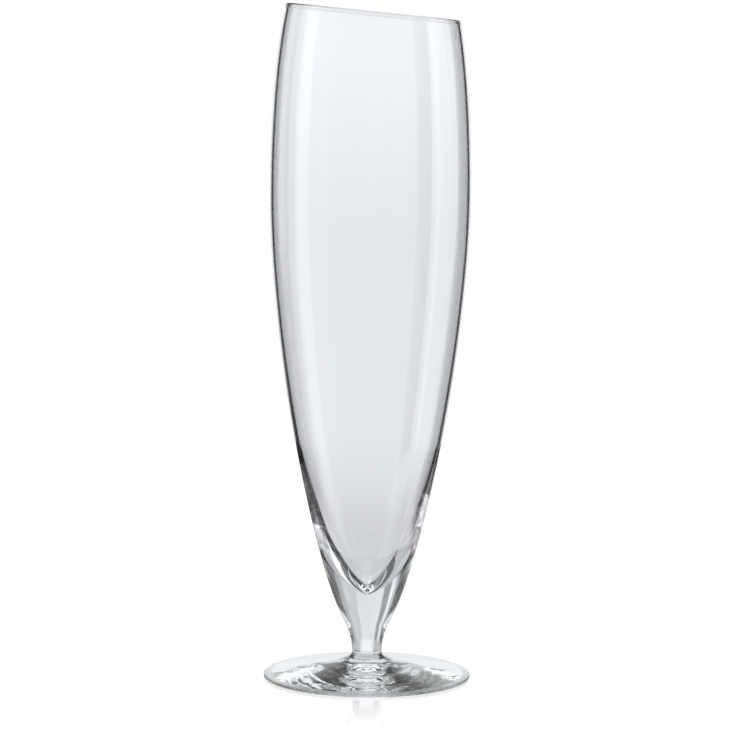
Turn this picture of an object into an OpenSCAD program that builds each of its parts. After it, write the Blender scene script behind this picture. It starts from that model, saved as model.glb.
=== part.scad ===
// Pilsner glass with a sloping rim, hand made in three gathers of clear glass.
// It stands on the plane z = 0 with its axis on z. The rim is high at -X and low at +X.

/* [Bowl] */
// Height of the rim at the middle of its slope
rim_height = 255.7; // [235:0.1:285]
// Outside diameter of the bowl at the middle of the rim's slope
rim_diameter = 66.6; // [60:0.1:71]
// Slope of the rim, down towards +X, in degrees
rim_slope = 5.4; // [0:0.1:8]
// Lean of the wall towards the axis at the rim, in degrees
rim_lean = 11.25; // [5:0.25:15]
// Thickness of the wall at the rim
rim_wall = 1.3; // [1:0.1:2]
// Thickness of the melted bead that rounds the rim
rim_bead = 1.6; // [1.2:0.1:2.6]
// Height of the widest point of the bowl
belly_height = 187; // [165:1:205]
// Outside diameter of the bowl at its widest point
belly_diameter = 77.1; // [70:0.1:84]
// Height at which the wall starts to thicken towards the base
heel_height = 91.2; // [80:0.1:110]
// Thickness of the wall at the heel
heel_wall = 1.4; // [1.3:0.1:2.5]
// Height of the lowest point inside the bowl
cavity_floor = 34.4; // [30:0.1:42]
// Radius over which the inside turns up from its lowest point
cavity_nose = 2.2; // [1:0.1:4]
// Glass between the inside of the bowl and the top of the stem
base_wall = 3; // [2:0.1:4]

/* [Stem] */
// Height at which the cup of the stem ends on the outside of the bowl
cup_height = 49.2; // [44:0.1:56]
// Angle at which the lip of the cup runs out to the outside, in degrees from level
cup_lip_angle = 24; // [10:1:35]
// Radius of the level part in the bottom of the cup
cup_nose = 7; // [4:0.5:9]
// Height of the steepest lean of the stem
shoulder_height = 23.2; // [19:0.1:27]
// Diameter of the stem there
shoulder_diameter = 19.3; // [16:0.1:22]
// Lean of the outside there, in degrees
shoulder_lean = 26.5; // [20:0.5:32]
// Height of the narrowest point, where the stem is joined to the foot
waist_height = 9.7; // [8:0.1:13]
// Diameter at the narrowest point
waist_diameter = 11.4; // [9:0.1:14]

/* [Foot] */
// Diameter of the foot
foot_diameter = 80; // [70:1:95]
// Thickness of the foot at its rounded edge
foot_edge = 1.2; // [1:0.1:3]
// Lean of the top of the foot at its edge, in degrees from level
foot_lean = 10; // [6:0.5:12]
// Depth of the hollow under the middle of the foot
foot_hollow = 1.5; // [0.5:0.1:4]
// Width of the flat ring that the glass stands on
rest_width = 2; // [1:0.5:8]

/* [Hidden] */
$fn = 160;
glass_colour = [0.83, 0.88, 0.88];

// How far cuts run past what they cut
overrun = 4;

// How far each curve of the outline follows its end directions, as shares of its height
rim_pull_share = 0.283;
belly_rise_share = 0.32;
belly_fall_share = 0.33;
shoulder_pull_share = 0.147;
shoulder_fall_share = 0.12;
waist_pull_share = 0.5;

// The same for the inside of the base and the cup of the stem
heel_pull_share = 0.82;
cup_lip_share = 0.5;

// The same for the top of the foot, and for its shallow hollow
collar_pull_share = 0.4;
foot_pull_share = 0.85;
hollow_pull_share = 0.5;

// Points along each curve
long_steps = 32;
short_steps = 16;
edge_steps = 12;

rim_radius = rim_diameter / 2;
belly_radius = belly_diameter / 2;
shoulder_radius = shoulder_diameter / 2;
waist_radius = waist_diameter / 2;
foot_radius = foot_diameter / 2;
rim_top = rim_height + rim_radius * tan(rim_slope) + overrun;

// A point of the curve from a to d that leaves towards b and arrives from c
function curve_point(a, b, c, d, t) =
    pow(1 - t, 3) * a + 3 * pow(1 - t, 2) * t * b + 3 * (1 - t) * t * t * c + t * t * t * d;
function curve(a, b, c, d, steps) = [for (i = [0:steps]) curve_point(a, b, c, d, i / steps)];

// The outside, as [radius, height] from the waist up
belly_rise = rim_height - belly_height;
belly_fall = belly_height - shoulder_height;
shoulder_fall = shoulder_height - waist_height;
waist_curve = curve(
    [waist_radius, waist_height],
    [waist_radius, waist_height + waist_pull_share * shoulder_fall],
    [shoulder_radius - shoulder_fall_share * shoulder_fall * tan(shoulder_lean),
        shoulder_height - shoulder_fall_share * shoulder_fall],
    [shoulder_radius, shoulder_height], short_steps);
flank_curve = curve(
    [shoulder_radius, shoulder_height],
    [shoulder_radius + shoulder_pull_share * belly_fall * tan(shoulder_lean),
        shoulder_height + shoulder_pull_share * belly_fall],
    [belly_radius, belly_height - belly_fall_share * belly_fall],
    [belly_radius, belly_height], long_steps);
rim_curve = curve(
    [belly_radius, belly_height],
    [belly_radius, belly_height + belly_rise_share * belly_rise],
    [rim_radius + rim_pull_share * belly_rise * tan(rim_lean),
        rim_height - rim_pull_share * belly_rise],
    [rim_radius, rim_height], short_steps);
outside = concat(
    waist_curve,
    [for (i = [1:long_steps]) flank_curve[i]],
    [for (i = [1:short_steps]) rim_curve[i]],
    [[rim_radius - (rim_top - rim_height) * tan(rim_lean), rim_top]]);

// The outside radius at a height, and the wall there, which thins towards the rim
outside_table = [for (p = outside) [p[1], p[0]]];
function outside_radius(z) = lookup(z, outside_table);
function wall(z) = lookup(z, [[heel_height, heel_wall], [rim_height, rim_wall]]);

// The inside, from its lowest point up to the heel and then parallel to the outside
heel_span = heel_height - cavity_floor;
heel_radius = outside_radius(heel_height) - heel_wall;
heel_drop = heel_pull_share * heel_span;
heel_pull_radius = heel_radius - (outside_radius(heel_height) - outside_radius(heel_height - heel_drop));
inside = concat(
    curve(
        [0, cavity_floor],
        [cavity_nose, cavity_floor],
        [heel_pull_radius, heel_height - heel_drop],
        [heel_radius, heel_height], long_steps),
    [for (p = outside) if (p[1] > heel_height) [p[0] - wall(p[1]), p[1]]]);

// The weld between bowl and stem, from the axis out to the lip of the cup and past it
cup_floor = cavity_floor - base_wall;
cup_radius = outside_radius(cup_height);
cup_lip = cup_lip_share * cup_radius;
weld = concat(
    curve(
        [0, cup_floor],
        [cup_nose, cup_floor],
        [cup_radius - cup_lip, cup_height - cup_lip * tan(cup_lip_angle)],
        [cup_radius, cup_height], short_steps),
    [[cup_radius + overrun, cup_height + overrun * tan(cup_lip_angle)]]);

// Half of the glass above the foot, without its inside
module body_section() {
    polygon(concat(outside, [[0, rim_top], [0, waist_height]]));
}

// Everything inside the weld
module bubble_section() {
    top = rim_top + overrun;
    polygon(concat(weld, [[belly_radius + overrun, cup_height + overrun],
        [belly_radius + overrun, top], [0, top]]));
}

module inside_section() {
    polygon(concat(inside, [[inside[len(inside) - 1][0], rim_top + overrun], [0, rim_top + overrun]]));
}

// The space above the sloping rim
module above_rim() {
    side = 2 * (belly_diameter + overrun);
    translate([0, 0, rim_height])
        rotate([0, rim_slope, 0])
            translate([-side / 2, -side / 2, 0])
                cube(side);
}

// The bead follows the sloping cut, which lies a little towards the low side. The cut is slightly
// oval, so the round bead takes the mean of its two radii.
module rim_bead_ring() {
    shift = rim_radius * tan(rim_slope) * tan(rim_lean);
    cut_radius = rim_radius * (1 + 1 / cos(rim_slope)) / 2;
    translate([0, 0, rim_height])
        rotate([0, rim_slope, 0])
            translate([shift, 0, 0])
                rotate_extrude()
                    translate([cut_radius - rim_wall / 2, 0])
                        circle(d = rim_bead, $fn = 32);
}

// Blown bubble: thin wall, thick pointed base, fire-polished rim
module bowl() {
    color(glass_colour)
        union() {
            difference() {
                rotate_extrude()
                    difference() {
                        intersection() {
                            body_section();
                            bubble_section();
                        }
                        inside_section();
                    }
                above_rim();
            }
            rim_bead_ring();
        }
}

// Solid gather: a cup that takes the point of the bowl, drawn in to the waist
module stem() {
    color(glass_colour)
        rotate_extrude()
            difference() {
                body_section();
                bubble_section();
            }
}

// Solid gather, spread out into a disc with a hollow underside and a round edge
module foot() {
    edge_radius = foot_edge / 2;
    edge_start = foot_radius - edge_radius;
    rest_start = edge_start - rest_width;
    collar_height = waist_height - foot_edge;
    foot_run = foot_pull_share * (edge_start - waist_radius);
    top = curve(
        [waist_radius, waist_height],
        [waist_radius, waist_height - collar_pull_share * collar_height],
        [edge_start - foot_run, foot_edge + foot_run * tan(foot_lean)],
        [edge_start, foot_edge], long_steps);
    hollow = curve(
        [rest_start, 0],
        [rest_start * (1 - hollow_pull_share / 2), foot_hollow * hollow_pull_share],
        [rest_start * hollow_pull_share, foot_hollow],
        [0, foot_hollow], short_steps);
    edge = [for (i = [1:edge_steps])
        [edge_start + edge_radius * sin(180 * i / edge_steps),
            edge_radius + edge_radius * cos(180 * i / edge_steps)]];
    color(glass_colour)
        rotate_extrude()
            polygon(concat([[0, waist_height]], top, edge, hollow));
}

bowl();
stem();
foot();
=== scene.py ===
# %% [markdown]
# A pilsner glass, hand made from three gathers of clear glass: a blown bowl with a sloping rim, a
# solid stem drawn in to a waist, and a foot spread out into a disc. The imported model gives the
# frame that everything here is fitted to. Each gather is made again as a finer turned solid with a
# glass finish.

# %% Load the frame
import bisect
import math

import bmesh
import bpy
from mathutils import Matrix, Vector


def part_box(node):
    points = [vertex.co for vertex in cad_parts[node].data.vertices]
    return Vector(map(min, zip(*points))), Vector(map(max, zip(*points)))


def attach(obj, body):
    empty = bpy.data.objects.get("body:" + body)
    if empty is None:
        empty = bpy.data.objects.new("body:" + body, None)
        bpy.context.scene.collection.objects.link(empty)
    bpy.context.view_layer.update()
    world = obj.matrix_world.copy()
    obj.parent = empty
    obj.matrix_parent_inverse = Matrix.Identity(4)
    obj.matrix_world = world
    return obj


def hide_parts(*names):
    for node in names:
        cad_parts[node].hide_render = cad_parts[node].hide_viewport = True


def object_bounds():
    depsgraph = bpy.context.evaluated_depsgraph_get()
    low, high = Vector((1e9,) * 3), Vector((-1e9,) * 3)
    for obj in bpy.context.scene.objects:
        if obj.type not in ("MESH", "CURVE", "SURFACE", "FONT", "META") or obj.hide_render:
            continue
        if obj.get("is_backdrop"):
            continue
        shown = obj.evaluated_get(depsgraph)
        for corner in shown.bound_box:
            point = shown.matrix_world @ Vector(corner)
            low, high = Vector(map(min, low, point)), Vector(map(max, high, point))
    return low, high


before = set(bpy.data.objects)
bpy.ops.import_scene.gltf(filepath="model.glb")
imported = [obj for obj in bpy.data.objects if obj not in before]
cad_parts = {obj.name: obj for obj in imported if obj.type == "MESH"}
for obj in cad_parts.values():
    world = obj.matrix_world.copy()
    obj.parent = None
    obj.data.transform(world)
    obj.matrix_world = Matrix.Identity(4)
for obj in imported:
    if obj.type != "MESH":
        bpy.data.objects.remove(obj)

cad_bounds = [list(corner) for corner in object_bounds()]
print("nodes:", sorted(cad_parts))

# %% [markdown]
# The glass is a body of revolution apart from its rim, so a few radii and heights say all about its
# outline. The ones that the frame can give are read from it. The rest are the maker's own sizes.
# Lengths are in metres and angles in radians.

# %% Sizes of the glass
MM = 0.001
waist_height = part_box("foot")[1].z
waist_radius = 5.7 * MM
shoulder_height = 23.2 * MM
shoulder_radius = 9.65 * MM
shoulder_lean = math.radians(26.5)
belly_height = 187 * MM
belly_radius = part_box("bowl")[1].y
rim_height = 255.7 * MM
rim_radius = 33.3 * MM
rim_lean = math.radians(11.25)
rim_slope = math.radians(5.4)
rim_wall = 1.3 * MM
heel_height = 91.2 * MM
heel_wall = 1.4 * MM
cavity_floor = 34.4 * MM
cavity_nose = 2.2 * MM
cup_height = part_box("stem")[1].z
cup_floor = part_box("bowl")[0].z
cup_lip_angle = math.radians(24)
cup_nose = 7 * MM
foot_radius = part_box("foot")[1].x
foot_edge = 1.2 * MM
foot_lean = math.radians(10)
foot_hollow = 1.5 * MM
rest_width = 2 * MM
print(f"waist at {waist_height / MM:.1f} mm, foot {2 * foot_radius / MM:.1f} mm across")
print(f"belly {2 * belly_radius / MM:.1f} mm across")

# %% [markdown]
# Molten glass flows, so its outline has no straight parts and no corners. It could be drawn by
# hand as a curve object, but a few numbers say it better: a cubic curve needs only its two ends,
# the pull that it leaves with and the push that it arrives with. Each of these points is a radius
# and a height.

# %% A curve of molten glass
def flow(start, pull, push, end, steps):
    """Points on a smooth curve that leaves start towards pull and arrives at end from push."""
    points = []
    for i in range(steps + 1):
        t = i / steps
        shares = ((1 - t) ** 3, 3 * (1 - t) ** 2 * t, 3 * (1 - t) * t * t, t ** 3)
        corners = (start, pull, push, end)
        points.append(tuple(sum(s * c[k] for s, c in zip(shares, corners)) for k in (0, 1)))
    return points


# %% [markdown]
# The outside rises from the waist over the shoulder to the belly and goes in again to the rim, in
# three curves. Their pulls and pushes are shares of the height of each curve: the longer one is,
# the longer the glass keeps to its direction at that end.

# %% Outline from the waist to the rim
waist_pull = 0.5
shoulder_push = 0.12
shoulder_pull = 0.147
belly_push = 0.33
belly_pull = 0.32
rim_push = 0.283
shoulder_fall = shoulder_height - waist_height
belly_fall = belly_height - shoulder_height
belly_rise = rim_height - belly_height
waist_line = flow(
    (waist_radius, waist_height),
    (waist_radius, waist_height + waist_pull * shoulder_fall),
    (shoulder_radius - shoulder_push * shoulder_fall * math.tan(shoulder_lean),
     shoulder_height - shoulder_push * shoulder_fall),
    (shoulder_radius, shoulder_height), steps=20)
flank_line = flow(
    (shoulder_radius, shoulder_height),
    (shoulder_radius + shoulder_pull * belly_fall * math.tan(shoulder_lean),
     shoulder_height + shoulder_pull * belly_fall),
    (belly_radius, belly_height - belly_push * belly_fall),
    (belly_radius, belly_height), steps=96)
rim_line = flow(
    (belly_radius, belly_height),
    (belly_radius, belly_height + belly_pull * belly_rise),
    (rim_radius + rim_push * belly_rise * math.tan(rim_lean), rim_height - rim_push * belly_rise),
    (rim_radius, rim_height), steps=32)
outline = waist_line + flank_line[1:] + rim_line[1:]
print(len(outline), "points from the waist to the rim")

# %% [markdown]
# The wall is thin at the rim and a little thicker at the heel, where the base begins. A Solidify
# modifier gives an even wall, unless a vertex group thins it. Here the wall is simply taken off the
# outside, as thick as it is at each height.

# %% The wall at any height
outline_heights = [z for r, z in outline]


def outside_radius(z):
    """Radius of the outside at a height, carried on in a straight line above the rim."""
    if z >= rim_height:
        return rim_radius - (z - rim_height) * math.tan(rim_lean)
    upper = bisect.bisect_left(outline_heights, z, lo=1, hi=len(outline) - 1)
    (r0, z0), (r1, z1) = outline[upper - 1], outline[upper]
    return r0 + (r1 - r0) * (z - z0) / (z1 - z0)


def wall(z):
    """Thickness of the wall at a height between the heel and the rim."""
    share = min(1, max(0, (z - heel_height) / (rim_height - heel_height)))
    return heel_wall + (rim_wall - heel_wall) * share


print(f"wall halfway up: {wall((heel_height + rim_height) / 2) / MM:.2f} mm")

# %% [markdown]
# Below the heel the inside leaves the outside and runs down to a small round point, which is what
# makes the base so heavy. One more curve of molten glass gives it, from the point up to the heel.

# %% The inside
heel_pull = 0.82
clear_of_heel = 0.5 * MM
heel_radius = outside_radius(heel_height) - heel_wall
heel_drop = heel_pull * (heel_height - cavity_floor)
cavity = flow(
    (0, cavity_floor),
    (cavity_nose, cavity_floor),
    (outside_radius(heel_height - heel_drop) - heel_wall, heel_height - heel_drop),
    (heel_radius, heel_height), steps=72)
above_heel = [(r - wall(z), z) for r, z in outline if z > heel_height + clear_of_heel]
inside = cavity + above_heel
print(f"the inside is {(rim_height - cavity_floor) / MM:.1f} mm deep")

# %% [markdown]
# Fire polishing melts the cut edge, and the glass draws itself into a bead that is a little thicker
# than the wall. A Bevel modifier would only round the corners. On a section the bead is an arc, and
# the wall swells into it over a short neck.

# %% Bead of the rim
bead_radius = 0.7 * MM
bead_steps = 16
neck_length = 1.5 * MM
neck_height = rim_height - neck_length
neck_rise = 0.5 * neck_length
neck_shift = neck_rise * math.tan(rim_lean)
bead_drop = 0.3 * neck_length
bead_centre = rim_radius - rim_wall / 2
neck_outside = outside_radius(neck_height)
neck_inside = neck_outside - wall(neck_height)
outer_neck = flow(
    (neck_outside, neck_height),
    (neck_outside - neck_shift, neck_height + neck_rise),
    (bead_centre + bead_radius, rim_height - bead_drop),
    (bead_centre + bead_radius, rim_height), steps=8)
inner_neck = flow(
    (bead_centre - bead_radius, rim_height),
    (bead_centre - bead_radius, rim_height - bead_drop),
    (neck_inside - neck_shift, neck_height + neck_rise),
    (neck_inside, neck_height), steps=8)
bead = [(bead_centre + bead_radius * math.cos(angle), rim_height + bead_radius * math.sin(angle))
        for angle in (math.pi * i / bead_steps for i in range(1, bead_steps))]
print(f"the bead is {2 * bead_radius / MM:.1f} mm thick")

# %% [markdown]
# The bowl and the stem were welded hot. The weld is a cup: level at the bottom, then rising along
# the bowl and running out to the outside at an open angle. The stem and the foot meet in a level
# disc at the waist. Each weld is written once and used by both of its gathers, so they fit exactly.

# %% The welds
cup_radius = outside_radius(cup_height)
cup_lip = 0.5 * cup_radius
cup_weld = flow(
    (0, cup_floor),
    (cup_nose, cup_floor),
    (cup_radius - cup_lip, cup_height - cup_lip * math.tan(cup_lip_angle)),
    (cup_radius, cup_height), steps=32)
waist_weld = [(0, waist_height), (waist_radius, waist_height)]
print(f"the cup of the stem is {2 * cup_radius / MM:.1f} mm across at its lip")

# %% [markdown]
# A turned solid is its section spun about the axis. A Screw modifier would do this too, but bmesh
# can give each part of the section its own finish, which is needed because glass that is melted
# together shows no surface at the weld. A quarter turn is spun and then mirrored twice, which is
# much quicker than a full spin. After that the points on the axis and between the parts are merged,
# and the normals are made to point out of the glass.

# %% Turning a section
QUARTER_STEPS = 60
MERGE_DISTANCE = 0.0005 * MM
SLIVER_LENGTH = 0.0001 * MM


def turn(section, chain, finish):
    """Spins a chain of points a quarter turn and gives the new faces a material number."""
    verts = [section.verts.new((r, 0, z)) for r, z in chain]
    edges = [section.edges.new(pair) for pair in zip(verts, verts[1:])]
    before = len(section.faces)
    bmesh.ops.spin(section, geom=verts + edges, cent=(0, 0, 0), axis=(0, 0, 1),
                   angle=math.pi / 2, steps=QUARTER_STEPS, use_duplicate=False)
    section.faces.ensure_lookup_table()
    for face in section.faces[before:]:
        face.material_index = finish


def close(section):
    """Mirrors the quarter to a full turn and merges it into one closed solid."""
    for axis in ("X", "Y"):
        quarter = section.verts[:] + section.edges[:] + section.faces[:]
        bmesh.ops.mirror(section, geom=quarter, axis=axis, merge_dist=MERGE_DISTANCE)
    bmesh.ops.remove_doubles(section, verts=section.verts, dist=MERGE_DISTANCE)
    bmesh.ops.dissolve_degenerate(section, dist=SLIVER_LENGTH, edges=section.edges)
    bmesh.ops.recalc_face_normals(section, faces=section.faces)
    for face in section.faces:
        face.smooth = True
    for edge in section.edges:
        edge.smooth = len({face.material_index for face in edge.link_faces}) == 1


print("faces round the glass:", 4 * QUARTER_STEPS)

# %% [markdown]
# A finished solid becomes an object at the origin, with its place in its mesh. It then takes its
# materials, hides its node of the frame and rides on the one body that the glass has.

# %% From a section to a piece
def piece(name, section, node, finishes):
    """Makes the object, with its materials, and hides its node of the frame."""
    mesh = bpy.data.meshes.new(name)
    section.to_mesh(mesh)
    open_edges = sum(not edge.is_manifold for edge in section.edges)
    millilitres = section.calc_volume() / (10 * MM) ** 3
    section.free()
    for finish in finishes:
        mesh.materials.append(finish)
    made = bpy.data.objects.new(name, mesh)
    bpy.context.collection.objects.link(made)
    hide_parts(node)
    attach(made, "root")
    triangles = sum(len(face.vertices) - 2 for face in mesh.polygons)
    print(f"{name}: {triangles} triangles, {open_edges} open edges, {millilitres:.2f} ml")


# %% [markdown]
# Hand-made glass is never quite even. The surface keeps slow waves from the turning iron, on the
# bowl and the stem longer along the axis than round it. They are far too shallow to see in the
# outline, so a bump does, but they bend what is seen through them. One node group gives these waves
# to all three gathers, each with its own depth.

# %% Node group: waves from the furnace
def furnace_waves():
    """A noise pattern on Object coordinates that tilts the normal."""
    group = bpy.data.node_groups.new("furnace waves", "ShaderNodeTree")
    for name in ("Width", "Stretch", "Depth"):
        group.interface.new_socket(name, in_out="INPUT", socket_type="NodeSocketFloat")
    group.interface.new_socket("Normal", in_out="OUTPUT", socket_type="NodeSocketVector")
    nodes = group.nodes
    link = group.links.new
    given = nodes.new("NodeGroupInput")
    result = nodes.new("NodeGroupOutput")
    place = nodes.new("ShaderNodeTexCoord")
    length = nodes.new("ShaderNodeMath")
    length.operation = "MULTIPLY"
    link(given.outputs["Width"], length.inputs[0])
    link(given.outputs["Stretch"], length.inputs[1])
    wave_size = nodes.new("ShaderNodeCombineXYZ")
    link(given.outputs["Width"], wave_size.inputs["X"])
    link(given.outputs["Width"], wave_size.inputs["Y"])
    link(length.outputs[0], wave_size.inputs["Z"])
    in_waves = nodes.new("ShaderNodeVectorMath")
    in_waves.operation = "DIVIDE"
    link(place.outputs["Object"], in_waves.inputs[0])
    link(wave_size.outputs[0], in_waves.inputs[1])
    waves = nodes.new("ShaderNodeTexNoise")
    waves.inputs["Scale"].default_value = 1
    waves.inputs["Detail"].default_value = 1.5
    waves.inputs["Roughness"].default_value = 0.35
    link(in_waves.outputs[0], waves.inputs["Vector"])
    bump = nodes.new("ShaderNodeBump")
    bump.inputs["Strength"].default_value = 1
    link(given.outputs["Depth"], bump.inputs["Distance"])
    link(waves.outputs["Fac"], bump.inputs["Height"])
    link(bump.outputs["Normal"], result.inputs["Normal"])
    print("node group:", group.name)
    return group


waves_group = furnace_waves()

# %% [markdown]
# The glass itself is one kind, a clear soda glass that shows a faint green-grey where light runs
# through much of it. It could have an absorbing volume, but a faint tint on the surface does for
# glass this clear, and is quicker. Fire-polished glass has no roughness. Each gather has its own
# tint and waves.

# %% Clear glass
GLASS_INDEX = 1.5


def glass(name, tint, wave_width, wave_stretch, wave_depth):
    material = bpy.data.materials.new(name)
    material.use_nodes = True
    nodes = material.node_tree.nodes
    link = material.node_tree.links.new
    shader = nodes["Principled BSDF"]
    shader.inputs["Base Color"].default_value = (*tint, 1)
    shader.inputs["Transmission Weight"].default_value = 1
    shader.inputs["IOR"].default_value = GLASS_INDEX
    shader.inputs["Roughness"].default_value = 0
    waves = nodes.new("ShaderNodeGroup")
    waves.node_tree = waves_group
    waves.inputs["Width"].default_value = wave_width
    waves.inputs["Stretch"].default_value = wave_stretch
    waves.inputs["Depth"].default_value = wave_depth
    link(waves.outputs["Normal"], shader.inputs["Normal"])
    print("glass:", name, "tint", tint)
    return material


bowl_glass = glass("bowl glass", (0.985, 0.988, 0.995),
                   wave_width=30 * MM, wave_stretch=3, wave_depth=0.01 * MM)
stem_glass = glass("stem glass", (0.975, 0.985, 0.985),
                   wave_width=12 * MM, wave_stretch=3, wave_depth=0.01 * MM)
foot_glass = glass("foot glass", (0.95, 0.97, 0.965),
                   wave_width=7 * MM, wave_stretch=1, wave_depth=0.12 * MM)

# %% [markdown]
# The ring that the foot stands on is scuffed by use. It isn't a piece of its own, so the roughness
# follows the height: most at the table, and none a tenth of a millimetre above it.

# %% Scuffed ring
scuff_height = 0.1 * MM
scuff_roughness = 0.3


def scuff(material):
    nodes = material.node_tree.nodes
    link = material.node_tree.links.new
    place = nodes.new("ShaderNodeTexCoord")
    height = nodes.new("ShaderNodeSeparateXYZ")
    link(place.outputs["Object"], height.inputs[0])
    worn = nodes.new("ShaderNodeMapRange")
    worn.inputs["From Min"].default_value = 0
    worn.inputs["From Max"].default_value = scuff_height
    worn.inputs["To Min"].default_value = scuff_roughness
    worn.inputs["To Max"].default_value = 0
    link(height.outputs["Z"], worn.inputs["Value"])
    link(worn.outputs["Result"], nodes["Principled BSDF"].inputs["Roughness"])
    print("scuffed:", material.name)


scuff(foot_glass)

# %% [markdown]
# Where two gathers are melted together, light passes as if there were no surface. The faces of a
# weld can't just be left out, because each gather is a closed solid, so they get a finish that
# doesn't show.

# %% Fused joint
def fused():
    material = bpy.data.materials.new("fused joint")
    material.use_nodes = True
    shader = material.node_tree.nodes["Principled BSDF"]
    shader.inputs["Base Color"].default_value = (1, 1, 1, 1)
    shader.inputs["Alpha"].default_value = 0
    print("joint:", material.name)
    return material


fused_joint = fused()

# %% [markdown]
# The bowl is spun level and then tipped at the top, as a blown bubble is cut on the slant. It
# could be cut with a slanted plane, but the bead would then have to be laid along the cut. Each
# point near the rim moves down in step with how far it lies to the low side, and in or out so that
# it stays on the wall.

# %% Bowl
tip_start = 205 * MM


def tip_rim(section):
    """Tips the top of the bowl to the slope of the rim, smoothly from tip_start upwards."""
    for vert in section.verts:
        rise = min(1, max(0, (vert.co.z - tip_start) / (rim_height - tip_start)))
        share = rise * rise * (3 - 2 * rise)
        radius = vert.co.xy.length
        if share > 0 and radius > 0:
            drop = vert.co.x * math.tan(rim_slope) * share
            drop *= 1 + drop * math.tan(rim_lean) / radius
            shift = outside_radius(vert.co.z - drop) - outside_radius(vert.co.z)
            vert.co.x *= (radius + shift) / radius
            vert.co.y *= (radius + shift) / radius
            vert.co.z -= drop


bowl_section = bmesh.new()
wall_outside = [point for point in outline if cup_height < point[1] < neck_height]
wall_inside = [point for point in inside if point[1] < neck_height]
bowl_surface = [(cup_radius, cup_height)] + wall_outside + outer_neck
bowl_surface += bead + inner_neck + wall_inside[::-1]
turn(bowl_section, bowl_surface, 0)
turn(bowl_section, cup_weld, 1)
close(bowl_section)
tip_rim(bowl_section)
piece("bowl_blown", bowl_section, "bowl", [bowl_glass, fused_joint])

# %% [markdown]
# The stem is the second gather. It takes the point of the bowl in its cup, is drawn in to the waist
# while it's soft, and ends there in a level weld. Its outside is the lower part of the same outline
# as the bowl's, so the two run on without a step.

# %% Stem
stem_section = bmesh.new()
drawn_outside = [point for point in outline if point[1] < cup_height]
turn(stem_section, drawn_outside + [(cup_radius, cup_height)], 0)
turn(stem_section, cup_weld, 1)
turn(stem_section, waist_weld, 1)
close(stem_section)
piece("stem_drawn", stem_section, "stem", [stem_glass, fused_joint])

# %% [markdown]
# The foot is the third gather, pressed out into a disc while it spins. Its top falls away in one
# line from the waist, its edge is round, and its underside is slightly hollow so that it stands on
# a ring. It is turned like the others, because a squashed cylinder would have neither the round
# edge nor the hollow.

# %% Foot
foot_pull = 0.85
collar_pull = 0.4
hollow_pull = 0.5
edge_steps = 12
edge_radius = foot_edge / 2
edge_start = foot_radius - edge_radius
rest_start = edge_start - rest_width
collar_height = waist_height - foot_edge
foot_run = foot_pull * (edge_start - waist_radius)
foot_top = flow(
    (waist_radius, waist_height),
    (waist_radius, waist_height - collar_pull * collar_height),
    (edge_start - foot_run, foot_edge + foot_run * math.tan(foot_lean)),
    (edge_start, foot_edge), steps=120)
round_edge = [(edge_start + edge_radius * math.sin(angle),
               edge_radius + edge_radius * math.cos(angle))
              for angle in (math.pi * i / edge_steps for i in range(1, edge_steps))]
foot_under = flow(
    (rest_start, 0),
    ((1 - hollow_pull / 2) * rest_start, hollow_pull * foot_hollow),
    (hollow_pull * rest_start, foot_hollow),
    (0, foot_hollow), steps=80)
foot_section = bmesh.new()
turn(foot_section, foot_top + round_edge + [(edge_start, 0)] + foot_under, 0)
turn(foot_section, waist_weld, 1)
close(foot_section)
piece("foot_disc", foot_section, "foot", [foot_glass, fused_joint])

# %% [markdown]
# The glass stands on a white sweep. Rays that the glass mirrors or lets through don't see this
# floor. What the glass shows of it is given below with the light, so that the floor and the studio
# make one even surround.

# %% Floor
floor_half = 6.0
floor_section = bmesh.new()
bmesh.ops.create_grid(floor_section, x_segments=1, y_segments=1, size=floor_half)
floor_mesh = bpy.data.meshes.new("floor")
floor_section.to_mesh(floor_mesh)
floor_section.free()
floor = bpy.data.objects.new("floor", floor_mesh)
bpy.context.collection.objects.link(floor)
floor.visible_glossy = False
floor.visible_transmission = False
floor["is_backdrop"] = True
print(f"floor: {2 * floor_half:.0f} m square")

# %% [markdown]
# To the camera the floor is plain white, with a faint shadow and, close to the foot, a faint mirror
# image of the stem. A white diffuse floor alone would come out grey, so most of its white is light
# of its own, and a small diffuse share keeps the shadow. The mirror fades out with the distance.

# %% Floor finish
floor_grey = 0.8
own_light = 1.12
own_light_share = 0.88
mirror_share = 0.3
mirror_blur = 0.07
mirror_reach = 0.125


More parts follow.
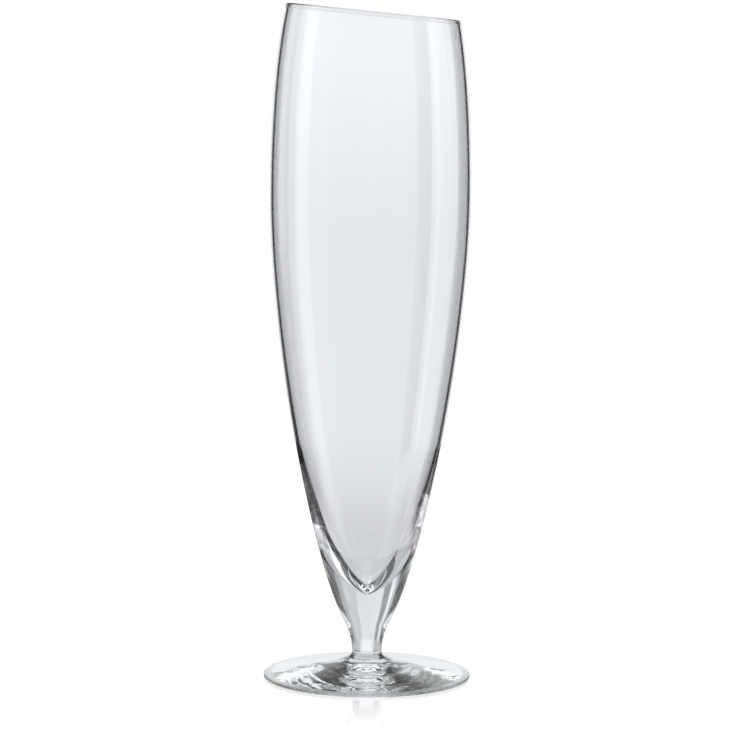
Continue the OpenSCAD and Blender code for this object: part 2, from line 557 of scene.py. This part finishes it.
def floor_finish():
    material = bpy.data.materials.new("white sweep")
    material.use_nodes = True
    nodes = material.node_tree.nodes
    link = material.node_tree.links.new
    nodes.clear()
    output = nodes.new("ShaderNodeOutputMaterial")
    matt = nodes.new("ShaderNodeBsdfDiffuse")
    matt.inputs["Color"].default_value = (floor_grey, floor_grey, floor_grey, 1)
    white = nodes.new("ShaderNodeEmission")
    white.inputs["Strength"].default_value = own_light
    mirror = nodes.new("ShaderNodeBsdfGlossy")
    mirror.inputs["Color"].default_value = (1, 1, 1, 1)
    mirror.inputs["Roughness"].default_value = mirror_blur
    lit = nodes.new("ShaderNodeMixShader")
    lit.inputs["Fac"].default_value = own_light_share
    link(matt.outputs[0], lit.inputs[1])
    link(white.outputs[0], lit.inputs[2])
    place = nodes.new("ShaderNodeTexCoord")
    away = nodes.new("ShaderNodeVectorMath")
    away.operation = "LENGTH"
    link(place.outputs["Object"], away.inputs[0])
    near = nodes.new("ShaderNodeMapRange")
    near.interpolation_type = "SMOOTHSTEP"
    near.inputs["From Min"].default_value = foot_radius
    near.inputs["From Max"].default_value = mirror_reach
    near.inputs["To Min"].default_value = mirror_share
    near.inputs["To Max"].default_value = 0
    link(away.outputs["Value"], near.inputs["Value"])
    shine = nodes.new("ShaderNodeMixShader")
    link(near.outputs["Result"], shine.inputs["Fac"])
    link(lit.outputs[0], shine.inputs[1])
    link(mirror.outputs[0], shine.inputs[2])
    link(shine.outputs[0], output.inputs["Surface"])
    print("floor:", material.name)
    return material


floor_mesh.materials.append(floor_finish())

# %% [markdown]
# Clear glass is drawn by what stands round it. A bright backdrop behind the glass, black flags
# beside the backdrop and a soft box on each side give the light middle, the dark edge lines and the
# pale bands of the photo. Real lamps and cards could stand in the scene. The world holds this
# studio instead, because light that leaves the glass finds it without noise. It is a picture in
# degrees: azimuth 0 is behind the glass, +90 is to the right, and the elevation is negative for the
# floor.
#
# The studio is made of rows of panels. A row is an even grey with panels laid on it one by one.
# Each panel has its left and right edge, its brightness and how soft its edges are. The lowest rows
# are the floor near the foot, the floor further out and the skirting. The two elevations before a
# row say where it fades in over the row below.

# %% Low rows of the studio
near_floor = (0.9, (
    (-41, 48, 0.03, 3),
    (-5, 5, 0.85, 2),
))
far_floor_from = (-56, -48)
far_floor = (0.95, (
    (-130, -66, 1.2, 4),
    (-66, -41, 0.8, 3),
    (-41, -22, 0.0, 1.5),
    (-22, -7, 1.05, 1.5),
    (-7, 22, 0.5, 2),
    (22, 48, 0.5, 2),
))
skirting_from = (-38, -30)
skirting = (0.7, (
    (-128, -88, 1.2, 2),
    (-80, -46, 0.25, 2),
    (-46, 64, 0.03, 2),
    (-10, 20, 0.5, 2),
    (74, 98, 1.15, 1.5),
    (100, 124, 0.25, 1.5),
))
print("panels on the skirting:", len(skirting[1]))

# %% [markdown]
# At the height of the glass are the walls, with the backdrop between the black flags and the two
# soft boxes. Over them come the upper walls and a white ceiling. The frieze is a row over the walls
# that only light mirrored more than nine times can see: it draws the edges of the thick base.

# %% High rows of the studio
walls_from = (-11, -6)
walls = (0.68, (
    (-128, -88, 1.2, 2),
    (-84, -64, 0.35, 3),
    (-64, -46, 0.75, 3),
    (-46, 60, 0.02, 2),
    (-20, 20, 0.85, 1.5),
    (74, 98, 1.15, 1.5),
    (100, 124, 0.25, 1.5),
))
frieze_from = (-3, 2)
frieze_mirrorings = 9.5
frieze = (0.68, (
    (-190, -129, 0.15, 2),
    (130, 190, 0.12, 3),
    (-128, -88, 1.2, 2),
    (-84, 26, 0.12, 3),
    (26, 70, 1.1, 2),
    (74, 98, 1.15, 1.5),
    (100, 124, 0.25, 1.5),
))
upper_walls_from = (14, 26)
upper_walls = (0.5, (
    (-190, -112, 0.15, 2),
    (130, 190, 0.12, 3),
    (-44, -20, 0.3, 3),
    (20, 64, 0.08, 3),
    (-18, 18, 0.3, 2),
))
ceiling_from = (38, 50)
ceiling = 1.0
print("panels on the walls:", len(walls[1]))

# %% [markdown]
# The world is built from nodes that work on the direction of a ray. It could be painted on an
# image instead, but then nothing in it could be read or changed. A few helpers keep the nodes
# short: they do sums, change smoothly between two angles and mix two brightnesses.

# %% World and its helpers
world = bpy.data.worlds.new("studio")
bpy.context.scene.world = world
world.use_nodes = True
world_nodes = world.node_tree.nodes
world_link = world.node_tree.links.new
world_nodes.clear()


def feed(socket, value):
    """Sets a socket to a number, or links it to what another node gives."""
    if isinstance(value, (int, float)):
        socket.default_value = value
    else:
        world_link(value, socket)


def work_out(operation, *values):
    """A sum, a product, an angle or a comparison of values."""
    node = world_nodes.new("ShaderNodeMath")
    node.operation = operation
    for socket, value in zip(node.inputs, values):
        feed(socket, value)
    return node.outputs[0]


def change(value, start, end, low, high):
    """A smooth change from low at start to high at end."""
    node = world_nodes.new("ShaderNodeMapRange")
    node.interpolation_type = "SMOOTHSTEP"
    world_link(value, node.inputs["Value"])
    limits = (("From Min", start), ("From Max", end), ("To Min", low), ("To Max", high))
    for name, number in limits:
        node.inputs[name].default_value = number
    return node.outputs["Result"]


def mix(share, first, second):
    """first where share is 0, second where it is 1."""
    node = world_nodes.new("ShaderNodeMix")
    world_link(share, node.inputs["Factor"])
    feed(node.inputs["A"], first)
    feed(node.inputs["B"], second)
    return node.outputs["Result"]


print("world:", world.name)

# %% [markdown]
# The direction of a ray is its azimuth and its elevation, in degrees. The panels of a row need only
# the azimuth. The elevation says how far a row has faded in over what lies below it.

# %% Directions and rows
place = world_nodes.new("ShaderNodeTexCoord")
split = world_nodes.new("ShaderNodeSeparateXYZ")
world_link(place.outputs["Generated"], split.inputs[0])
azimuth = work_out("DEGREES", work_out("ARCTAN2", split.outputs["X"], split.outputs["Y"]))
elevation = work_out("DEGREES", work_out("ARCSINE", split.outputs["Z"]))
off_middle = work_out("ABSOLUTE", azimuth)


def row(grey, panels):
    """One row of the studio: an even grey with panels laid over it, the later ones on top."""
    light = grey
    for start, end, brightness, soft in panels:
        rise = change(azimuth, start - soft, start + soft, 0, 1)
        fall = change(azimuth, end - soft, end + soft, 1, 0)
        light = mix(work_out("MULTIPLY", rise, fall), light, brightness)
    return light


def above(fade):
    """0 below the first of two elevations and 1 above the second."""
    return change(elevation, *fade, 0, 1)


print("nodes for the directions:", len(world_nodes))

# %% [markdown]
# This is what the glass mirrors, inside or out. A ray knows how often it was mirrored and how many
# surfaces it went through. These counts are whole numbers, so a limit lies halfway between two.

# %% What the glass mirrors
rays = world_nodes.new("ShaderNodeLightPath")
studio = mix(above(far_floor_from), row(*near_floor), row(*far_floor))
studio = mix(above(skirting_from), studio, row(*skirting))
studio = mix(above(walls_from), studio, row(*walls))
often_mirrored = work_out("GREATER_THAN", rays.outputs["Glossy Depth"], frieze_mirrorings)
frieze_share = work_out("MULTIPLY", above(frieze_from), often_mirrored)
studio = mix(frieze_share, studio, row(*frieze))
studio = mix(above(upper_walls_from), studio, row(*upper_walls))
studio = mix(above(ceiling_from), studio, ceiling)
print("nodes after the rows:", len(world_nodes))

# %% [markdown]
# What the outside mirrors also has a gleam, low over the horizon behind the glass. It keeps the
# rim pale. Rays that have been inside the glass don't see it.

# %% Gleam on the outside
none_yet = 0.5
gleam_low = (0, 4, 0, 1)
gleam_high = (20, 30, 1, 0)
gleam_side = (12, 22, 1, 0)
gleam_light = 1.0
gleam = work_out("MULTIPLY", change(elevation, *gleam_low), change(elevation, *gleam_high))
gleam = work_out("MULTIPLY", gleam, change(off_middle, *gleam_side))
outside_only = work_out("LESS_THAN", rays.outputs["Transmission Depth"], none_yet)
studio = mix(work_out("MULTIPLY", outside_only, gleam), studio, gleam_light)
print(f"the gleam ends at {gleam_high[1]} degrees")

# %% [markdown]
# Rays that only pass through the thin wall see a backdrop that gets a little darker towards the
# floor and brighter again right under the glass, with a dim strip just right of the middle.

# %% Backdrop behind the thin wall
horizon = (-4.5, 0.5, 0.85, 1.0)
sweep = (-22, -8, 0.77, 1.0)
underfoot = (-50, -36, 1.3, 1.0)
strip_left = (0.9, 2.35, 0, 1)
strip_right = (2.4, 2.6, 1, 0)
strip_from = (-15, -9)
strip_light = 0.88
backdrop = work_out("MULTIPLY", change(elevation, *horizon), change(elevation, *sweep))
backdrop = work_out("MULTIPLY", backdrop, change(elevation, *underfoot))
strip = work_out("MULTIPLY", change(azimuth, *strip_left), change(azimuth, *strip_right))
strip = work_out("MULTIPLY", strip, above(strip_from))
backdrop = work_out("MULTIPLY", backdrop, change(strip, 0, 1, 1, strip_light))
print(f"the strip is {strip_right[0] - strip_left[0]:.1f} degrees wide")

# %% [markdown]
# Rays that pass through solid glass are bent far aside, past the backdrop. They see a row of their
# own, which gives the stem its upright lines, over a floor that gets darker to the sides.

# %% Surround behind solid glass
solid_floor = (8, 26, 0.93, 0.5)
solid_row_from = (-2, 7)
solid_row = (0.75, (
    (-68, -34, 0.12, 2),
    (-40, -34, 0.5, 1.5),
    (-34, -28, 0.9, 1.2),
    (-28, -18, 0.3, 1.5),
    (-18, 12, 0.78, 2),
    (12, 29, 0.6, 2),
    (29, 40, 0.4, 3),
    (40, 68, 0.12, 3),
))
solid_ceiling_from = (40, 50)
aside = mix(above(solid_row_from), change(off_middle, *solid_floor), row(*solid_row))
aside = mix(above(solid_ceiling_from), aside, ceiling)
print("panels behind the stem:", len(solid_row[1]))

# %% [markdown]
# Now each ray gets its own surround. The camera and the matt floor see plain white. Light that was
# mirrored sees the studio. Light that was never mirrored sees the backdrop if it crossed more than
# two surfaces, as in the hollow bowl, and else the surround behind solid glass.

# %% Which ray sees what
lamp_colour = (0.99, 1.005, 1.03)
solid_surfaces = 2.5
unmirrored = work_out("LESS_THAN", rays.outputs["Glossy Depth"], none_yet)
passed = work_out("MULTIPLY", rays.outputs["Is Transmission Ray"], unmirrored)
hollow = work_out("GREATER_THAN", rays.outputs["Transmission Depth"], solid_surfaces)
seen = mix(passed, studio, mix(hollow, aside, backdrop))
direct = work_out("MAXIMUM", rays.outputs["Is Camera Ray"], rays.outputs["Is Diffuse Ray"])
colour = world_nodes.new("ShaderNodeMix")
colour.data_type = "RGBA"
world_link(direct, colour.inputs["Factor"])
colour.inputs["A"].default_value = (*lamp_colour, 1)
colour.inputs["B"].default_value = (1, 1, 1, 1)
light = world_nodes.new("ShaderNodeBackground")
world_link(colour.outputs["Result"], light.inputs["Color"])
world_link(mix(direct, seen, 1.0), light.inputs["Strength"])
output = world_nodes.new("ShaderNodeOutputWorld")
world_link(light.outputs[0], output.inputs["Surface"])
print("nodes in the world:", len(world_nodes))

# %% [markdown]
# Light that enters the base or the foot is turned back many times before it finds its way out. With
# the few bounces that a plain scene allows, those places would go black, so clear glass is given
# more.

# %% Bounces for clear glass
glass_bounces = 32
light_paths = bpy.context.scene.cycles
light_paths.max_bounces = glass_bounces
light_paths.glossy_bounces = glass_bounces
light_paths.transmission_bounces = glass_bounces
light_paths.transparent_max_bounces = glass_bounces
print("bounces:", light_paths.glossy_bounces)

# %% [markdown]
# The camera stands where the photographer's did: a long lens level with the rim, tipped down a few
# degrees and turned by less than half a degree.

# %% Camera
camera_distance = 1.194
camera_left = 0.0004
camera_height = 0.2562
camera_pitch = math.radians(6.5)
camera_roll = math.radians(0.45)
lens_length = 153
sensor_width = 36
lens = bpy.data.cameras.new("camera")
lens.lens = lens_length
lens.sensor_width = sensor_width
camera = bpy.data.objects.new("camera", lens)
bpy.context.collection.objects.link(camera)
camera.matrix_world = (Matrix.Translation((-camera_left, -camera_distance, camera_height))
                       @ Matrix.Rotation(math.pi / 2 - camera_pitch, 4, "X")
                       @ Matrix.Rotation(camera_roll, 4, "Z"))
bpy.context.scene.camera = camera
bpy.context.scene.view_settings.view_transform = "Standard"
print("camera at", tuple(round(v, 4) for v in camera.location))

# %% [markdown]
# At the end the boxes of the imported model and of the dressed one are printed.

# %% Sizes and finish
bpy.context.view_layer.update()
looks_bounds = [list(corner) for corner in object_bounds()]
for name, bounds in (("frame", cad_bounds), ("looks", looks_bounds)):
    print(name, [[round(v / MM, 2) for v in corner] for corner in bounds])
